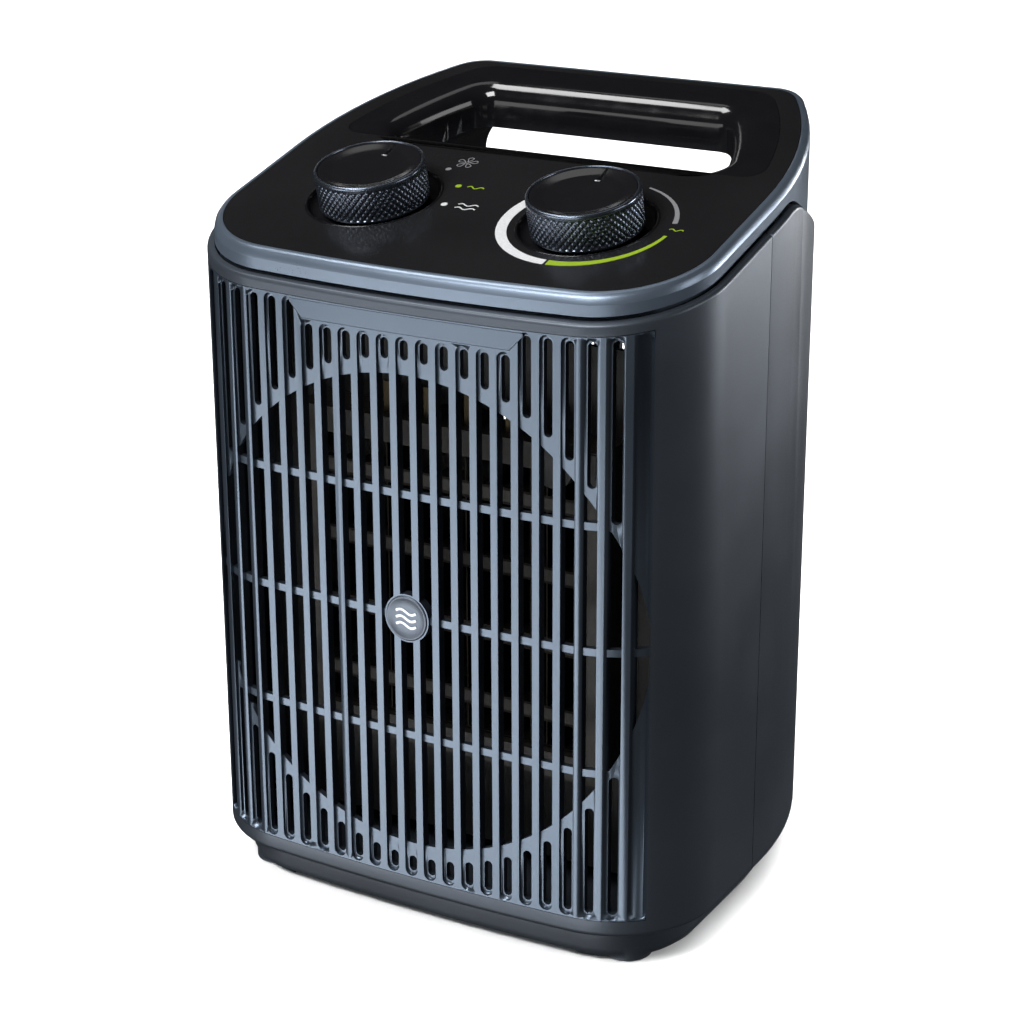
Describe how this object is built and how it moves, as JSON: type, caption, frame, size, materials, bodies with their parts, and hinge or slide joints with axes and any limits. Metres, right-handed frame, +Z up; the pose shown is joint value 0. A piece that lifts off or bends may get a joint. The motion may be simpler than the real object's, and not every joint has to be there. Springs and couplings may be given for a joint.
{
  "type": "ceramic space heater",
  "caption": "Upright fan heater: barred front grille over a round air outlet, sloping deck with turning knobs, carry handle at the top rear, ceramic element and fan inside.",
  "frame": {"origin": "centre of the bounding box on the ground, under the rubber feet", "axes": "+Z up, the barred front faces -Y, +X to the right seen from the front"},
  "size_m": [0.194, 0.1624, 0.2758],
  "materials": {
    "case": "satin",
    "grille": "satin",
    "plate": "satin",
    "badge": "satin",
    "feet": "matte",
    "cover": "satin",
    "liner": "gloss",
    "panel": "satin",
    "knob": "satin, knurled",
    "knob_cap": "satin",
    "switch_body": "matte",
    "thermostat_body": "matte",
    "steel": "plain",
    "duct": "matte",
    "heater_frame": "matte",
    "ceramic": "matte",
    "fins": "plain",
    "brass": "plain",
    "motor": "plain",
    "terminal_block": "matte",
    "gland": "matte"
  },
  "bodies": {
    "housing": {"front_shell": "case", "front_grille": "grille", "name_plate": "plate", "grille_badge": "badge", "rear_shell": "case", "base_plinth": "case", "rubber_feet": "feet", "top_cover": "cover", "handle_liner": "liner", "control_panel": "panel", "selector_dish": "liner", "thermostat_dish": "liner", "selector_switch": "switch_body", "thermostat_switch": "thermostat_body", "shaft_nuts": "steel", "case_screws": "steel", "air_duct": "duct", "motor_bracket": "duct", "heater_frame": "heater_frame", "heater_ceramics": "ceramic", "heater_fins": "fins", "heater_terminals": "brass", "thermal_cutout": "steel", "fan_motor": "motor", "terminal_block": "terminal_block", "cord_gland": "gland"},
    "selector": {"selector_knob": "knob", "selector_knob_cap": "knob_cap", "selector_shaft": "steel"},
    "thermostat": {"thermostat_knob": "knob", "thermostat_knob_cap": "knob_cap", "thermostat_shaft": "steel"},
    "fan": {"fan_impeller": "duct", "motor_shaft": "steel"}
  },
  "joints": [
    {"name": "selector_turn", "type": "hinge", "parent": "housing", "child": "selector", "pos_m": [-0.0412, -0.03134, 0.24807], "axis": [0, -0.2436, 0.9699], "range_deg": [-90, 0]},
    {"name": "thermostat_turn", "type": "hinge", "parent": "housing", "child": "thermostat", "pos_m": [0.0412, -0.03134, 0.24807], "axis": [0, -0.2436, 0.9699], "range_deg": [-300, 0]},
    {"name": "fan_spin", "type": "hinge", "parent": "housing", "child": "fan", "pos_m": [0, -0.0208, 0.118], "axis": [0, 1, 0], "continuous": true}
  ]
}
